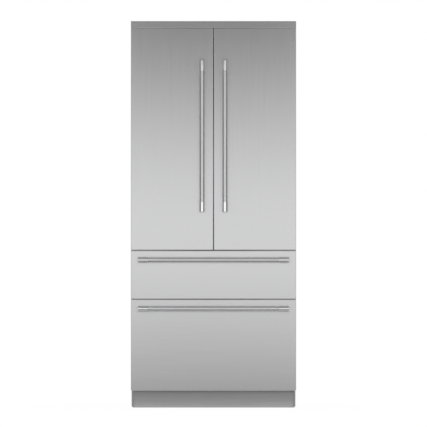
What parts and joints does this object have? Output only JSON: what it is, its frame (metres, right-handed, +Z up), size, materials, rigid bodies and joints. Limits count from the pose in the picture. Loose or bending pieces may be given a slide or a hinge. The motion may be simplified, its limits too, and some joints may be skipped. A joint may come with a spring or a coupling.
{
  "type": "built-in french door refrigerator",
  "caption": "Built-in stainless refrigerator with side-hinged doors over full-width freezer drawers, round bar handles and a recessed kick plate.",
  "frame": {"origin": "on the floor under the middle of the overall box", "axes": "+Z up, -Y out of the front, +X to the right as seen from the front"},
  "size_m": [0.908, 0.697, 2.125],
  "materials": {
    "stainless": "brushed",
    "chrome": "polished",
    "grey_steel": "satin",
    "zinc_steel": "zinc plated",
    "foam": "rigid foam",
    "white_liner": "smooth",
    "seal_rubber": "soft",
    "clear_plastic": "clear",
    "white_bin": "smooth",
    "glass": "clear",
    "aluminium": "plain",
    "black_paint": "satin",
    "black_plastic": "moulded"
  },
  "bodies": {
    "cabinet": {"outer_case": "grey_steel", "back_panel": "zinc_steel", "insulation": "foam", "fridge_liner": "white_liner", "freezer_liner": "white_liner", "drawer_rail": "white_liner", "header_trim": "stainless", "wall_bracket": "zinc_steel", "hinge_plates": "zinc_steel", "base_frame": "zinc_steel", "kick_plate": "grey_steel", "levelling_feet": "zinc_steel", "compressor": "black_paint", "compressor_grommets": "seal_rubber", "condenser_coil": "aluminium", "condenser_fan_housing": "black_plastic", "drain_pan": "black_plastic", "control_box": "black_plastic", "evaporator_coils": "aluminium", "duct_covers": "white_liner", "shelf_tracks": "zinc_steel", "shelf_frames": "zinc_steel", "shelf_glass": "glass", "crisper_drawers": "clear_plastic", "control_panel": "black_plastic", "slide_channels": "zinc_steel"},
    "left_door": {"left_door_panel": "stainless", "left_door_liner": "white_liner", "left_door_gasket": "seal_rubber", "left_door_bins": "clear_plastic", "left_handle_bar": "stainless", "left_handle_ends": "chrome"},
    "right_door": {"right_door_panel": "stainless", "right_door_liner": "white_liner", "right_door_gasket": "seal_rubber", "right_door_bins": "clear_plastic", "right_handle_bar": "stainless", "right_handle_ends": "chrome"},
    "flip_mullion": {"flip_mullion": "white_liner"},
    "upper_drawer": {"upper_drawer_panel": "stainless", "upper_drawer_liner": "white_liner", "upper_drawer_gasket": "seal_rubber", "upper_handle_bar": "stainless", "upper_handle_ends": "chrome", "upper_drawer_bin": "white_bin", "upper_drawer_runners": "zinc_steel"},
    "lower_drawer": {"lower_drawer_panel": "stainless", "lower_drawer_liner": "white_liner", "lower_drawer_gasket": "seal_rubber", "lower_handle_bar": "stainless", "lower_handle_ends": "chrome", "lower_drawer_bin": "white_bin", "lower_drawer_runners": "zinc_steel"},
    "upper_middles": {"upper_slide_middles": "zinc_steel"},
    "lower_middles": {"lower_slide_middles": "zinc_steel"},
    "condenser_fan": {"condenser_fan": "black_plastic"},
    "fridge_fan": {"fridge_fan": "black_plastic"},
    "freezer_fan": {"freezer_fan": "black_plastic"},
    "left_roller": {"left_roller": "black_plastic"},
    "right_roller": {"right_roller": "black_plastic"}
  },
  "joints": [
    {"name": "left_door_hinge", "type": "hinge", "parent": "cabinet", "child": "left_door", "pos_m": [-0.442, -0.2565, 1.4765], "axis": [0, 0, -1], "range_deg": [0, 110]},
    {"name": "right_door_hinge", "type": "hinge", "parent": "cabinet", "child": "right_door", "pos_m": [0.442, -0.2565, 1.4765], "axis": [0, 0, 1], "range_deg": [0, 110]},
    {"name": "flip_mullion_hinge", "type": "hinge", "parent": "left_door", "child": "flip_mullion", "pos_m": [-0.044, -0.2025, 1.459], "axis": [0, 0, -1], "range_deg": [0, 90]},
    {"name": "upper_drawer_slide", "type": "slide", "parent": "cabinet", "child": "upper_drawer", "axis": [0, -1, 0], "range_m": [0, 0.4]},
    {"name": "lower_drawer_slide", "type": "slide", "parent": "cabinet", "child": "lower_drawer", "axis": [0, -1, 0], "range_m": [0, 0.4]},
    {"name": "upper_middle_slide", "type": "slide", "parent": "cabinet", "child": "upper_middles", "axis": [0, -1, 0], "range_m": [0, 0.2]},
    {"name": "lower_middle_slide", "type": "slide", "parent": "cabinet", "child": "lower_middles", "axis": [0, -1, 0], "range_m": [0, 0.2]},
    {"name": "condenser_fan_spin", "type": "hinge", "parent": "cabinet", "child": "condenser_fan", "pos_m": [0.03, 0.222, 0.133], "axis": [0, 1, 0], "continuous": true},
    {"name": "fridge_fan_spin", "type": "hinge", "parent": "cabinet", "child": "fridge_fan", "pos_m": [0, 0.27, 1.873], "axis": [0, 1, 0], "continuous": true},
    {"name": "freezer_fan_spin", "type": "hinge", "parent": "cabinet", "child": "freezer_fan", "pos_m": [0, 0.27, 0.704], "axis": [0, 1, 0], "continuous": true},
    {"name": "left_roller_spin", "type": "hinge", "parent": "cabinet", "child": "left_roller", "pos_m": [-0.375, 0.2885, 0.022], "axis": [1, 0, 0], "continuous": true},
    {"name": "right_roller_spin", "type": "hinge", "parent": "cabinet", "child": "right_roller", "pos_m": [0.375, 0.2885, 0.022], "axis": [1, 0, 0], "continuous": true}
  ],
  "couplings": [
    {"joint": "upper_middle_slide", "follows": "upper_drawer_slide", "ratio": 0.5},
    {"joint": "lower_middle_slide", "follows": "lower_drawer_slide", "ratio": 0.5}
  ]
}
